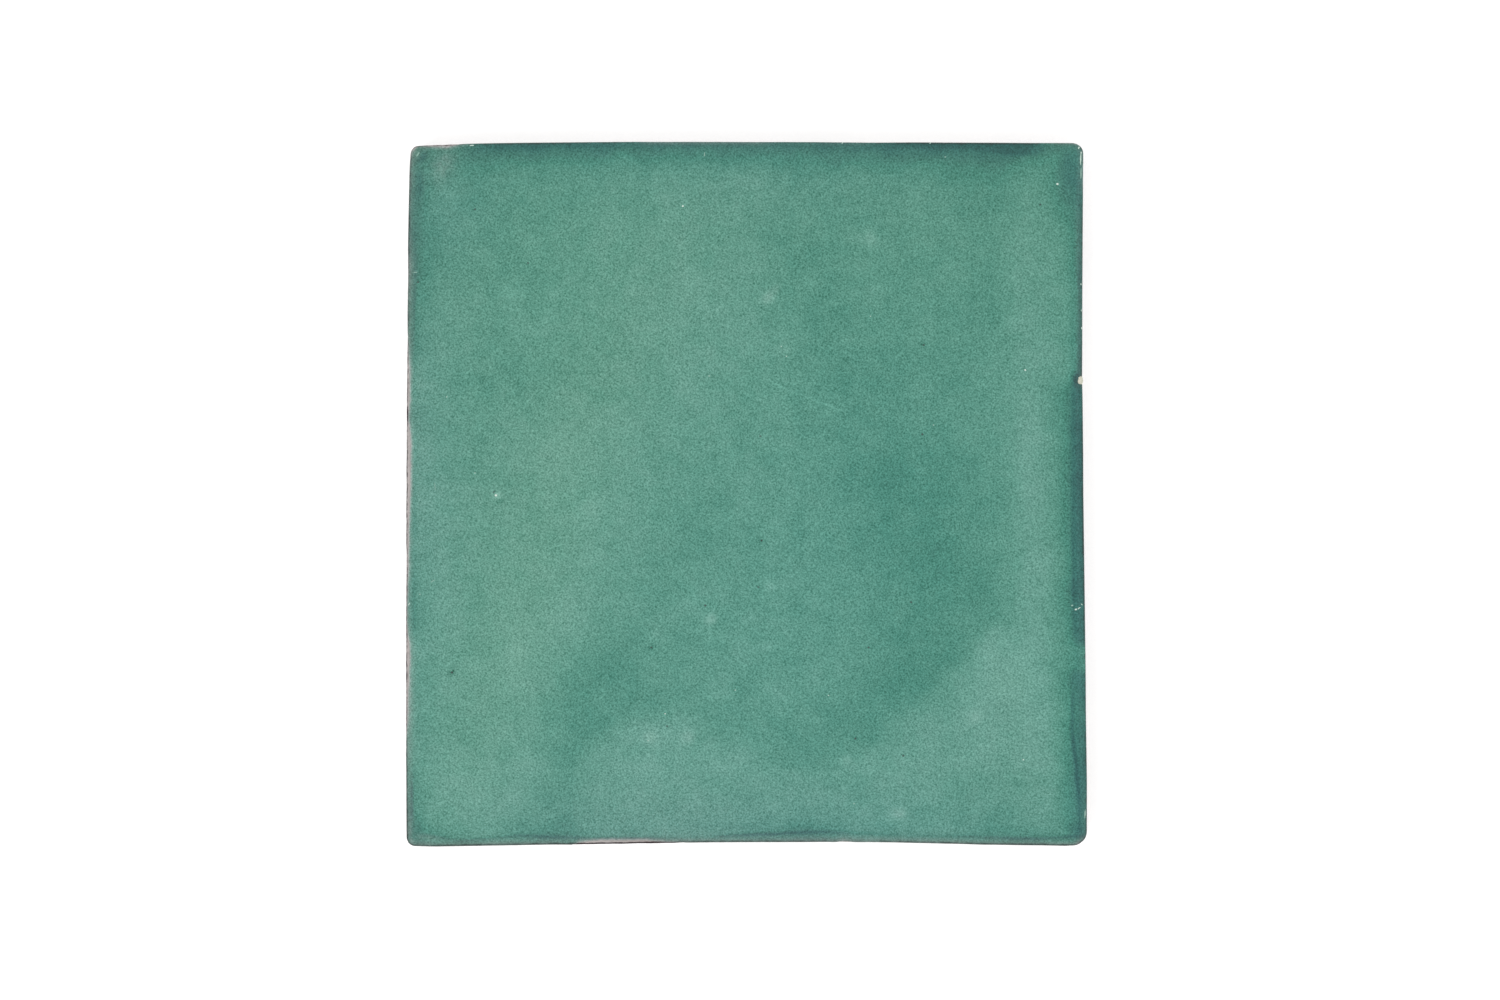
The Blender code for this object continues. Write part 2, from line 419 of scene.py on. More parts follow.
# %% Crease
# How far in the crease lies, and how much glaze fills it.
CREASE_PLACE = [
    [(-52, 1.9), (-48, 1.6), (-44, .7), (-39, 1), (-35, 1.4), (-30, 1.15), (-26, .9),
     (-22, .7), (-12, .68), (-4, .85), (-1, .95), (10, 1.5), (18, 1.35), (24, .95), (33, 1.05),
     (41, .9), (45, 1), (50, 1.45)],
    [(-54, 1.2), (-47, 1.15), (-42, 1.6), (-36, 2.2), (-31, 2.1), (-26, 1.8), (10, 1.7),
     (54, 1.2)],
    [(0, 1.2)],
    [(-54, 1.2), (-50, .8), (-44, .9), (-40, 1), (0, 1.2), (10, 1.3), (20, 1), (54, 1.1)],
]
CREASE = [
    [(-52, 0), (-46, .17), (-42, .2), (-30, .2), (-24, .16), (-21, .3), (-15, .3), (-11, .15),
     (-6, .06), (-4, .25), (0, .27), (4, .26), (11, .22), (15, .14), (18, .16), (24, .07),
     (30, .16), (36, .17), (41, .22), (49.5, .22), (52, .1)],
    [(-54, 0), (-48, .1), (-44, .16), (-36, .2), (-31, .15), (-27, .06), (-26, 0), (-23, 0),
     (-21, .08), (-14, .1), (-8, .08), (0, .04), (54, 0)],
    [(0, 0)],
    [(-54, 0), (-50, .06), (-48, .24), (-45, .24), (-42, .06), (-40, 0), (-24, 0), (-20, .12),
     (-11, .05), (1, .08), (14, .04), (24, .1), (30, .15), (40, .02), (54, 0)],
]
print("deepest crease, mm:", max(depth for side in CREASE for place, depth in side))

# %% [markdown]
# Last comes a thin dark line on the arris, which is painted shade where the edge turns down,
# and a softer grey beside it that darkens the rim near its edge. Both change in strength along
# each side, so they need lists too.

# %% Painted shade along the arris, and grey beside it
# Strength of the dark line of painted shade, and of the softer grey beside it.
SHADE_LINE = [
    [(-44, 1), (-30, .95), (-26, 1.4), (-16, 1.4), (-15, 1.9), (-14, 1.4), (-9, 1), (0, .95),
     (8, .85), (13, .6), (20, .65), (25, .85), (30, 1), (45, 1), (48, 1.25), (52, 1.1)],
    [(-54, .8), (-46, .6), (-38, .7), (-28, .5), (-23, .6), (-20, .7), (-18, .9), (5, .85),
     (9, .65), (13, .85), (16, .6), (19, .6), (30, .5), (36, .55), (42, .7), (47, .2),
     (50, .55), (54, .8)],
    [(-52, .9), (-44, .75), (-42, .35), (-39, .7), (-28, .8), (-24, .5), (-16, .25), (18, .25),
     (24, .75), (28, .95), (37, .95), (44, .6), (45, .3), (50, .3), (52, .8)],
    [(-54, 1), (-38, .9), (-34, .75), (-30, .75), (-27, 1), (-20, .85), (-18, 1), (-14, .85),
     (-12, 1), (-10, .75), (5, 1), (9, .65), (11, 1), (12, 1.3), (13.5, .9), (15, .7),
     (18, .75), (24, .7), (26, .95), (30, .7), (36, .8), (38, .9), (44, .9), (49, .8),
     (51, .75), (54, 1)],
]
DUSK = [
    [(-52, .5), (-48, .4), (-44, .65), (-30, .6), (-26, .4), (-20, .5), (-14, .7), (-12, .8),
     (-8, .55), (6, .55), (20, .5), (30, .6), (44, .55), (49, .5), (52, .85)],
    [(-54, .2), (-48, .05), (-44, 0), (16, 0), (17.5, .4), (21, .3), (40, .25), (44, .1),
     (54, 0)],
    [(-52, .25), (-42, 0), (-20, 0), (-15, .1), (15, .1), (22, 0), (44, 0), (50, .15)],
    [(-54, .3), (-50, .35), (-46, .3), (-40, .35), (-36, .35), (-28, .25), (-20, .3),
     (-14, .15), (8, .1), (11, .5), (12.5, .6), (14, .15), (24, .35), (38, .4), (44, .25),
     (48, .35), (54, .3)],
]
line, dusk = round_tile(SHADE_LINE), round_tile(DUSK)
print("dark line:", line.min().round(2), "to", line.max().round(2))

# %% [markdown]
# ## Thickness over the face
#
# Under the glaze the pressed clay is never flat. The hollows fill with glaze, which is what
# makes the soft dark clouds, and the high places shine through pale. Each cloud below is an
# oval: where it is, how long and wide, how it is turned, and how much glaze it adds, in
# hundredths of a millimetre. Noise alone makes clouds too, but not these clouds.

# %% Clouds in the glaze
CLOUDS = [
    (26, 3, 10.8, 7.3, -8, 9.9), (27, -10, 12, 9.5, -26, 12.3), (23, -29, 15.3, 6, 47, 12.1),
    (-22, -29, 10.6, 8.1, 44, 14), (8, -38, 15.3, 4.6, -1, 7.6), (34, 51, 13.6, 6.6, -4, 11.1),
    (11, 30, 20.4, 7.7, 90, 7.2), (28, 23, 20.4, 9.4, 52, 5.2), (39, -27, 7.1, 5.2, 80, -13.6),
    (26, -39, 20.4, 6.9, 6, -9.7), (-6, -39, 11.5, 3.4, -23, -9),
    (-30, -24, 22, 13.6, 89, -13), (-26, 8, 11.1, 8.8, 19, -8), (-39, -45, 11, 5.5, 0, -7.5),
    (-8, 28, 18.7, 15.3, -48, -6.8), (43.3, 9, 51, 2.6, -89, -8.8),
    (-38, 44, 15.3, 7.4, 23, 6), (-40, 19, 11.4, 3.5, 86, 3), (-7, -4, 5.1, 4, 13, 4.3),
    (-19, -42, 12.2, 7.5, -24, -9.4), (-27, -41, 13.6, 6.3, 83, 14),
    (-47, -10, 24.1, 2.6, -85, -5.4), (44, -21, 30, 7.8, 87, -4.5), (39, -50, 5.4, 4, 14, 7),
    (53, -37, 24, 5.5, -65, 5), (-49.4, 51.3, 1.1, .6, 50, 18), (-49.7, 47.2, 2.2, .6, 90, 12),
    (-50, -50.6, 1.4, .8, 60, 12), (48.6, 50.5, 3.5, 1.6, 90, 8), (50.6, -51.6, 2, 1.5, 0, 12),
]
# The unit of the heights above in mm, and the level between the clouds in that unit
CLOUD_UNIT = 0.01
CLOUD_LEVEL = 0.3


def ovals(plan, rows):
    """The sum of soft ovals at each place. A row is x, y, half length, half width, turn
    in degrees and height."""
    total = np.zeros(len(plan))
    for x, y, length, width, turn, height in rows:
        angle = math.radians(turn)
        dx, dy = plan[:, 0] - x, plan[:, 1] - y
        u = (dx * math.cos(angle) + dy * math.sin(angle)) / length
        v = (dy * math.cos(angle) - dx * math.sin(angle)) / width
        total += height * np.exp(-u * u - v * v)
    return total


print("clouds:", len(CLOUDS))

# %% [markdown]
# The tile was dipped twice. Along the line where the second dip ended, the glaze is a little
# thicker on the one side and thinner on the other, so the clouds have a crisp edge there. The
# distance to a line of points gives it.

# %% End of the second dip
DIP_LINE = [
    (40, -17), (37, -20.5), (33, -25.5), (27, -31), (21, -36), (17, -41), (10, -42.5),
    (4, -41), (-2, -38), (-7, -35), (-12, -34), (-19, -34.5), (-23, -37), (-26, -42),
    (-27, -53),
]
# Height of the step, and how soft and how broad it is, in mm
DIP_STEP = 0.03
DIP_SOFTNESS = 0.7
DIP_REACH = 3.0


def line_distance(plan, line):
    """Distance to a line of points, positive on its left side."""
    best = np.full(len(plan), np.inf)
    side = np.ones(len(plan))
    for start, end in zip(np.array(line[:-1], float), np.array(line[1:], float)):
        along = end - start
        share = np.clip((plan - start) @ along / (along @ along), 0, 1)[:, None]
        gap = plan - start - share * along
        distance = np.linalg.norm(gap, axis=1)
        nearer = distance < best
        best[nearer] = distance[nearer]
        side[nearer] = np.sign(along[0] * gap[:, 1] - along[1] * gap[:, 0])[nearer]
    return best * side


print("end of the second dip:", len(DIP_LINE), "points")

# %% [markdown]
# What is left is chance, and for that there is noise: smooth hills of a given size. With it
# the thickness can be put together, once for the face and once for the rim, where a side, its
# margin, bead and crease are looked up by the distance to it.

# %% Thickness of the glaze
# In mm: how far the rim's zones waver, and over what size; soft edge of the bead; crease
RIM_WAVER = 0.12
RIM_WAVER_SIZE = 2.5
BEAD_SOFTNESS = 0.1
CREASE_WIDTH = 0.3


def wander(places, size, seed):
    """Smooth noise from about -1 to 1 whose hills are about the size across, in mm."""
    return np.array([noise.noise((*(place / size), seed)) for place in places])


def waves(places, rows):
    """Several such noises together. A row is a depth, a size in mm and a seed."""
    return sum(depth * wander(places, size, seed) for depth, size, seed in rows)


def cloud_thickness(plan):
    """Extra glaze of the clouds, and of the step where the second dip ended."""
    extra = CLOUD_UNIT * (ovals(plan, CLOUDS) + CLOUD_LEVEL)
    across = -line_distance(plan, DIP_LINE)
    step = np.tanh(across / DIP_SOFTNESS) * np.exp(-((across / DIP_REACH) ** 2))
    return extra + DIP_STEP * step


def rim_thickness(plan):
    """Extra glaze near the sides: margin, bead and crease, the strongest side winning."""
    extra = np.zeros(len(plan))
    for index in range(4):
        start, end, outward = straight_part(index, 0)
        share = np.clip((plan - start) @ (end - start) / np.sum((end - start) ** 2), 0, 1)
        inset = bulge(index, share) - (plan - start) @ outward
        waver = RIM_WAVER * wander(plan, RIM_WAVER_SIZE, 3.1 + index)
        inset = np.maximum(inset + waver, 0)
        place = plan[:, index % 2]
        reach = at_places(MARGIN_REACH[index], place)
        here = at_places(MARGIN[index], place) * np.exp(-((inset / reach) ** 2))
        width = at_places(BEAD_WIDTH[index], place)
        bead = at_places(BEAD[index], place)
        here += bead / (1 + np.exp((inset - width) / BEAD_SOFTNESS))
        gap = inset - at_places(CREASE_PLACE[index], place)
        crease = at_places(CREASE[index], place)
        here += crease * np.exp(-((gap / CREASE_WIDTH) ** 2))
        extra = np.maximum(extra, here)
    return extra


print("the clouds add, mid-face, mm:", cloud_thickness(np.zeros((1, 2))).round(3)[0])

# %% [markdown]
# ## Small marks
#
# A face this plain lives from its few accidents: pale smudges where the glaze has boiled and
# healed, dark pinholes, one pimple with a hollow on its lower side, and a grain of grit that
# has melted into the right edge. The pimple's pale top is a painted highlight, the dark
# crescent in its hollow is painted shade over a little pooled glaze, and the dark patch inside
# the grit is its painted shadow. Each is an oval again, now with four heights: how much
# thinner or thicker the glaze is, how milky it looks, how far it stands up, and how much
# paler or darker it is without a change of hue.

# %% Marks in the face
# x, y, half length, half width, turn, extra glaze, milkiness, relief, levels of grey paler
MARKS = [
    (3.3, 29.9, 1.1, .8, 40, -.13, .06, .02, 3.5),
    (4.4, 31.2, .9, .6, 50, -.06, .04, .01, 0),
    (19, 38.9, 1, 1.4, 0, -.12, .02, .02, 7),
    (-5.5, -19.1, .9, .8, 0, -.11, .07, .02, 10),
    (3.6, -14.1, .8, .8, 0, -.09, .01, .02, 14),
    (3.3, -23.3, .8, .7, 0, -.06, 0, .01, 7),
    (-8.9, -37.1, 1.1, .9, 20, -.09, .06, .02, 6.5),
    (-14.7, -37.1, 1, .8, 0, -.08, .07, .02, 6),
    (15.1, -40.6, 1, .8, 0, -.06, .04, .01, 15),
    (34.9, -34.1, 1, 1, 0, -.06, .05, .01, 9),
    (23.3, -48.7, 1.2, .8, 0, -.05, .07, .01, 12),
    (-35.7, 30.6, 1.2, 1, 0, -.05, 0, .01, 8),
    (5.9, 21.9, 1, .8, 0, -.05, .02, .01, 3.5),
    (-24, -1.9, 2.6, 1.8, 20, -.08, .01, .01, 5),
    (-5.5, 21.5, 1.2, 1, 0, -.05, .01, .01, -2),
    (-35, -24, 1.6, 1.2, 0, -.04, .01, .01, 2.5),
    (-44.9, -27.2, .42, .42, 0, .04, 0, -.06, -34),
    (27, 22.7, .4, .4, 0, .02, 0, -.04, -25),
    (15.2, 20.3, .42, .42, 0, .03, 0, -.04, -27),
    (-40.3, 17.5, .45, .45, 0, .03, 0, -.04, -26),
    (-14.5, -23.4, .38, .38, 0, .02, 0, -.03, -19),
    (2.3, -7.1, .38, .38, 0, .02, 0, -.03, -14),
    # The pimple's thin-glazed top is made paler still as a painted highlight, and the crescent
    # below it is painted shade over a little pooled glaze.
    (-38, -.2, .55, .5, 0, -.14, 0, .12, 22),
    (-37.6, -1.1, .75, .32, 20, .1, 0, -.04, -22),
    (-48.6, -52.4, 2.2, .5, -8, -.05, .12, 0, 0),
    (-50.9, 52.4, .9, .6, 45, -.1, .2, 0, 0),
    (-46.3, 50, 2.6, 1.8, 70, .02, .16, 0, 0),
    # The dark patch inside the grit is its painted shadow, laid in as half a millimetre of
    # extra glaze.
    (50.3, 17.35, .8, .45, 90, .5, 0, -.03, 0),
    (-12, -50, 22, 5, 0, .04, .06, 0, 0),
    (-50, 10, 14, 3, 90, .02, .03, 0, 0),
]
# The columns of the four heights
THICKER, MILKIER, HIGHER, PALER = 5, 6, 7, 8
# A shift of one in the speckling is this many levels of grey in a colour picked as hex.
GREY_LEVELS = 112


def marks(plan, column):
    """The sum of the marks at each place, in one of their four heights."""
    return ovals(plan, [(*row[:5], row[column]) for row in MARKS])


print("marks:", len(MARKS))

# %% [markdown]
# ## Section through the rim
#
# Going out from the face, the clay's upper side falls a little, turns round a small arris and
# drops down the side, which leans in towards the back. The section is walked by one distance:
# millimetres over the surface, positive on top and negative down the side. The glaze is then
# laid on at right angles to it. Where its thickness falls below nothing, the coat dives into
# the clay, so the line where it ends is a true crossing of two surfaces, as uneven as life.

# %% Section of the rim
# Top of the clay, fall of its lip, radius of the arris, and lean and height of the side
CLAY_TOP = 5.5
LIP_FALL = 0.08
LIP_FALL_WIDTH = 1.4
ARRIS = 0.25
QUARTER_ARRIS = ARRIS * math.pi / 2
SIDE_LEAN = 0.35
SIDE_HEIGHT = 4.7


def clay_section(walk):
    """Inset and height of the clay, and which way its surface faces: outward, upward."""
    turn = np.clip((ARRIS - walk) / ARRIS, 0, math.pi / 2)
    down = max(ARRIS - QUARTER_ARRIS - walk, 0)
    inset = walk if walk > ARRIS else ARRIS * (1 - math.sin(turn))
    inset += SIDE_LEAN * down / SIDE_HEIGHT
    height = CLAY_TOP - LIP_FALL * max(1 - max(walk, 0) / LIP_FALL_WIDTH, 0) ** 2
    height -= ARRIS * (1 - math.cos(turn)) + down
    return inset, height, math.sin(turn), math.cos(turn)


print("the clay turns down at", [round(part, 2) for part in clay_section(0.0)])

# %% [markdown]
# The glazed face lies half a millimetre and more above the clay. It is crowned, since the tile
# was cut from a pressed slab and its edges were dragged down, hollow over the pools, and as
# softly uneven as glaze freezes. The dark line of painted shade on the arris belongs to the
# section too: it is strongest on the turn and fades within a short walk to either side.

# %% Glazed face, and dark line
# Usual thickness of the glaze, height of the crown, and where the crown has come down
GLAZE = 0.65
CROWN = 0.35
HALF_SIDES = (51.65, 53.55)
# A pool hollows the face by this share of its extra glaze, within these two limits.
HOLLOW_SHARE = 0.9
HOLLOW_LIMITS = (-0.12, 0.2)
# Height, size and seed of the soft unevenness that the glaze has frozen with.
UNEVENNESS = [(0.02, 7, 1.5), (0.008, 2.2, 4.5), (0.003, 1.0, 8.5)]
# The dark line of painted shade covers the arris from just above it to half a millimetre down.
LINE_INNER, LINE_INNER_SOFTNESS = 0.25, 0.05
LINE_OUTER, LINE_OUTER_SOFTNESS = -0.5, 0.08


def face_height(plan):
    """Height of the glazed surface: crowned, hollow over the pools, softly uneven."""
    across, up = (plan / HALF_SIDES).T
    height = CLAY_TOP + GLAZE + CROWN * (1 - across**4) * (1 - up**4)
    height -= HOLLOW_SHARE * np.clip(cloud_thickness(plan), *HOLLOW_LIMITS)
    return height + waves(plan, UNEVENNESS)


def shade_on_arris(walk, spot):
    """Strength of the painted shade on the arris at a walk over it and a place round the tile.
    """
    inner = 1 + np.exp((walk - LINE_INNER) / LINE_INNER_SOFTNESS)
    outer = 1 + np.exp((LINE_OUTER - walk) / LINE_OUTER_SOFTNESS)
    return line[spot] / inner / outer


print("mid-face, mm:", face_height(np.zeros((1, 2))).round(2)[0])

# %% [markdown]
# ## The coat of glaze
#
# The coat is a closed skin: its upper side is the glazed face, and its lower side hides in the
# clay. First comes the face, with its rings still lying flat around it.

# %% Build the coat
# How far each ring has walked over the clay, from the face outwards and down the side
WALKS = [2.4, 2.15, 1.92, 1.7, 1.5, 1.32, 1.16, 1.02, 0.89, 0.77, 0.66, 0.56, 0.47, 0.39,
         0.31, 0.24, 0.17, 0.1, 0.03, -0.04, -0.12, -0.22, -0.36, -0.55, -0.8]
# The last ring lies under the face, inside the clay.
UNDER_INSET = 1.1
UNDER_HEIGHT = 4.9
UNDER_STEP = 1.0

coat_insets = [clay_section(walk)[0] for walk in WALKS] + [UNDER_INSET]
coat = grid_with_rings("glaze_coat", len(coat_insets) - 1)
plan, ring, around = read_mesh(coat, coat_insets)
lay_flat(coat, plan, ring, around, coat_insets, [*-np.diff(WALKS), UNDER_STEP])
places = np.column_stack([plan, face_height(plan) + marks(plan, HIGHER)])
print("coat:", len(coat.vertices), "points, face up to", places[:, 2].max().round(2), "mm")

# %% [markdown]
# Beside its place, each point gets the thickness of the glaze, its milkiness, a fleck of grey
# and a tint. The tint is a slow drift of hue: the glaze is a little bluer at the bottom, and
# warmer or bluer again in a few broad ovals, as the flame has left it.

# %% What the colour needs
# Slow drifts of hue, as ovals again: how many sRGB steps redder, or bluer, the glaze is.
WARMER = [
    (-47, 41, 45, 9.3, 83, 3.1), (18, -10, 32, 20, 49, -2), (8, 49, 45, 10.4, 0, 2.2),
    (10, -60, 45, 12.6, 0, 3.5), (-27, 14, 45, 8.1, 49, 1.6), (46, -31, 17.6, 4.2, -74, -2),
    (-49.5, 42, 8, 2, 90, 4), (50, 0, 50, 1.1, 90, -5), (-50.6, 52.2, 1.6, 1.3, 0, 18),
    (-50.5, -5, 18, 1.5, 90, 3),
]
BLUER = [
    (-57, -9, 45, 8.9, 85, 5.3), (-34, -17, 45, 9.4, 72, -2.4), (5, -54, 45, 7.7, 0, 4.3),
    (-10, 58, 45, 11.3, -4, 5), (-46, 44, 8.4, 7.3, 28, 2.9), (15, -5, 45, 25.8, 69, 1.7),
    (50.3, -47, 5, 1.2, 90, 2), (50, 49, 5, 2, 90, 3), (50.8, 0, 50, 1, 90, 2.8),
]
# Red, green and blue: the evenly lit tint, and what one unit of blueness adds to it.
EVEN_TINT = (0.958, 1.0, 0.949)
BLUE_TINT = (0.01, -0.005, 0.04)
# One sRGB step of red or blue in this glaze is about a fortieth, or a fiftieth, of its light.
RED_STEP, BLUE_STEP = 0.025, 0.018
# Blueness falls from one to nothing over so many mm up the face, and drifts with a noise.
BLUE_FALL = 100
BLUE_DRIFT = [(0.2, 30, 2.5)]

thickness = GLAZE + cloud_thickness(plan) + rim_thickness(plan) + marks(plan, THICKER)
milk = marks(plan, MILKIER)
fleck = marks(plan, PALER) / GREY_LEVELS
blueness = 0.5 - plan[:, 1] / BLUE_FALL + waves(plan, BLUE_DRIFT)
tint = EVEN_TINT + np.outer(blueness, BLUE_TINT)
tint[:, 0] += RED_STEP * ovals(plan, WARMER)
tint[:, 2] += BLUE_STEP * ovals(plan, BLUER)
print("glaze, mm:", thickness.min().round(2), "to", thickness.max().round(2))

# %% [markdown]
# Now the rim. The line where the glaze ends gets a last raggedness, and then each ring of the
# coat is lifted off the clay by the thickness that the glaze has there: a thin drape at the
# end of it, swelling in a quarter of an ellipse to the full coat, which is the shape that
# surface tension gives to a thick liquid at its edge.

# %% Roll the rim
# The roll starts at the end of the glaze, but at least this far in.
ROLL_WIDTH = 1.25
LEAST_LIP = 0.03
# Thickness of the thin drape, depth of the dive into the clay, and how soon each is reached
DRAPE, DRAPE_WIDTH = 0.1, 0.12
SINK, SINK_WIDTH = 0.12, 0.1
# Right at its end the roll has this share of its height, and after that it grows with cover.
ROLL_START, ROLL_GROWTH = 0.55, 0.1
DUSK_WIDTH = 0.6
# The wider the bare lip, the more ragged the end of the glaze, between these shares.
RAGGED = [(0.07, 0.9, 0.5), (0.06, 2.7, 6.5)]
RAGGED_START, RAGGED_LIP = 0.4, 0.3
RAGGED_LEAST, RAGGED_MOST = 0.3, 1

ragged_share = np.clip(RAGGED_START + bare_lip / RAGGED_LIP, RAGGED_LEAST, RAGGED_MOST)
glaze_end = bare_lip + waves(outline(0), RAGGED) * ragged_share
arris_shade = np.zeros(len(plan))
rim_grey = np.zeros(len(plan))

for number, walk in enumerate(WALKS[1:], 1):
    here = np.flatnonzero(ring == number)
    spot = around[here]
    inset, height, out, up = clay_section(walk)
    cover = walk - glaze_end[spot]
    rolled = np.clip((walk - np.maximum(bare_lip[spot], LEAST_LIP)) / ROLL_WIDTH, 0, 1)
    roll = np.sqrt(1 - (1 - rolled) ** 2) * np.clip(ROLL_START + cover / ROLL_GROWTH, 0, 1)
    drape = DRAPE * np.tanh(cover / DRAPE_WIDTH)
    drape[cover < 0] = -SINK * np.tanh(-cover[cover < 0] / SINK_WIDTH)
    full = places[here, 2] - height
    lift = np.where(cover > 0, drape + (full - DRAPE) * roll, drape)
    places[here, :2] = edge_ring(inset)[spot] + outward_of[spot] * (lift * out)[:, None]
    places[here, 2] = height + lift * up
    film_share = haze[spot] * np.exp(-np.maximum(cover, 0) / film[spot])
    milk[here] = np.maximum(milk[here], film_share)
    # The dark line on the arris is painted shade.
    arris_shade[here] = shade_on_arris(walk, spot)
    # Beside it, a softer grey darkens the rim near its edge and fades inwards.
    rim_grey[here] = dusk[spot] * math.exp(-max(walk, 0) / DUSK_WIDTH)

last = ring == len(coat_insets) - 1
places[last, 2] = UNDER_HEIGHT
coat.vertices.foreach_set("co", (places * MM).ravel())
coat_places = places


def keep(mesh, name, values):
    """Writes a value, or a vector, for each point where a material can read it."""
    kind, field = ("FLOAT", "value") if values.ndim == 1 else ("FLOAT_VECTOR", "vector")
    layer = mesh.attributes.new(name, kind, "POINT")
    layer.data.foreach_set(field, values.astype(np.float32).ravel())


kept = {"glaze_thickness": thickness, "milk": milk, "fleck": fleck, "tint": tint,
        "arris_shade": arris_shade, "dusk": rim_grey}
for name, values in kept.items():
    keep(coat, name, values)
print("the glaze ends", glaze_end.min().round(2), "to", glaze_end.max().round(2), "mm in")

# %% [markdown]
# ## The slab of clay
#
# The slab is built the other way up: its grid is the back, and the rings climb round the back
# arris, up the side, over the upper arris and in under the glaze, where the closing face is
# never seen. A trimmed clay side is rougher than a glazed face, so the noise that moves its
# points is stronger, and drags mostly along the cut.

# %% Build the slab
# Inset and height of the rings on the flat back, and up its arris of half a millimetre
BACK_RINGS = [(3.0, 0), (2.4, 0), (1.9, 0), (1.5, 0), (1.15, 0), (0.95, 0.01), (0.8, 0.06),
              (0.66, 0.14), (0.53, 0.25), (0.43, 0.36), (0.37, 0.5)]
# Below this height the side leans in. It has a ring at each of the levels.
LEAN_START = 5.17
SIDE_LEVELS = np.arange(0.8, 5.0, 0.36)
TOP_WALKS = [-0.14, -0.07, 0.0, 0.06, 0.12, 0.18, 0.25, 0.35, 0.48, 0.62, 0.8, 1.0, 1.3, 1.7]
slab_section = list(BACK_RINGS)
slab_section += [(SIDE_LEAN * (1 - height / LEAN_START), height) for height in SIDE_LEVELS]
slab_walks = [height - CLAY_TOP for inset, height in slab_section] + TOP_WALKS
slab_section += [clay_section(walk)[:2] for walk in TOP_WALKS]

slab_insets = [inset for inset, height in slab_section]
slab = grid_with_rings("clay_body", len(slab_insets) - 1)
plan, ring, around = read_mesh(slab, slab_insets)
walked = np.linalg.norm(np.diff(slab_section, axis=0), axis=1)
lay_flat(slab, plan, ring, around, slab_insets, walked)
print("slab:", len(slab.vertices), "points in", len(slab_section), "rings")

# %% [markdown]
# The noise moves the sides in and out, and their upper part a little up and down. The back
# only rises and never sinks, since the tile lies on it. The last rings dive under the glaze,
# so that clay never pierces the coat.

# %% Roughen the clay
# Depth in mm, size across, size upwards and shift of each noise
ROUGHNESS = [(0.035, 1.6, 0.7, 0), (0.02, 0.6, 0.45, 9)]
# Share of the noise that moves the upper side, and rings that stay flat or that dive
UPWARD_SHARE = 0.5
FLAT_RINGS = 5
DIVING_RINGS, DIVE = 4, 0.25
BACK_WAVES = [(0.03, 6, 7.7), (0.01, 1.5, 3)]

heights = np.array([height for inset, height in slab_section])[ring]
places = np.column_stack([plan, heights])
rough = np.zeros(len(places))
for depth, across, upward, shift in ROUGHNESS:
    rough += [depth * noise.noise((x / across, y / across, z / upward + shift))
              for x, y, z in places]
side = ring >= FLAT_RINGS
places[side, :2] += outward_of[around[side]] * rough[side][:, None]
places[side, 2] += UPWARD_SHARE * rough[side] * (heights[side] > 1)
places[ring >= len(slab_insets) - DIVING_RINGS, 2] -= DIVE
places[~side, 2] += np.abs(waves(plan[~side], BACK_WAVES))
slab.vertices.foreach_set("co", (places * MM).ravel())
slab.flip_normals()
# The clay's arris gets the same dark line of painted shade.
keep(slab, "arris_shade", shade_on_arris(np.array(slab_walks)[ring], around))
print("clay moved by up to", np.abs(rough).max().round(3), "mm")

# %% [markdown]
# ## A grain of grit
#
# A cream grain of grit, a little over a millimetre long, fell on the right edge before the
# firing and melted in. It is a small ball of triangles, dented by noise and squeezed to size,
# half sunk in the glaze. An uneven pebble needs no more than that.

# %% Build the grit
GRIT_PLACE = (50.93, 17.3, 5.85)
GRIT_HALF_SIZE = (0.45, 0.6, 0.4)
# Depth of the dents, as a share of the radius, and how many there are along it
GRIT_DENTS = [(0.22, 1.4), (0.05, 5)]
bm = bmesh.new()
bmesh.ops.create_icosphere(bm, subdivisions=4, radius=1)
for vert in bm.verts:
    vert.co *= 1 + sum(depth * noise.noise(vert.co * often) for depth, often in GRIT_DENTS)
bmesh.ops.scale(bm, verts=bm.verts, vec=GRIT_HALF_SIZE)
bmesh.ops.translate(bm, verts=bm.verts, vec=GRIT_PLACE)
bmesh.ops.scale(bm, verts=bm.verts, vec=(MM, MM, MM))
grit = made_mesh(bm, "grit")
print("grit:", len(grit.polygons), "faces")

# %% [markdown]
# ## Crumbs and bubbles
#
# The finest accidents are smaller than the mesh of the face can show: crumbs of kiln dust,
# burst bubbles that look like white dots, iron specks, and pale nicks along the edges. Each is
# a tiny flat pebble, pressed into the glaze where the nearest point of the coat says that its
# surface is. As real shapes they stay sharp however coarse the baked pictures are.

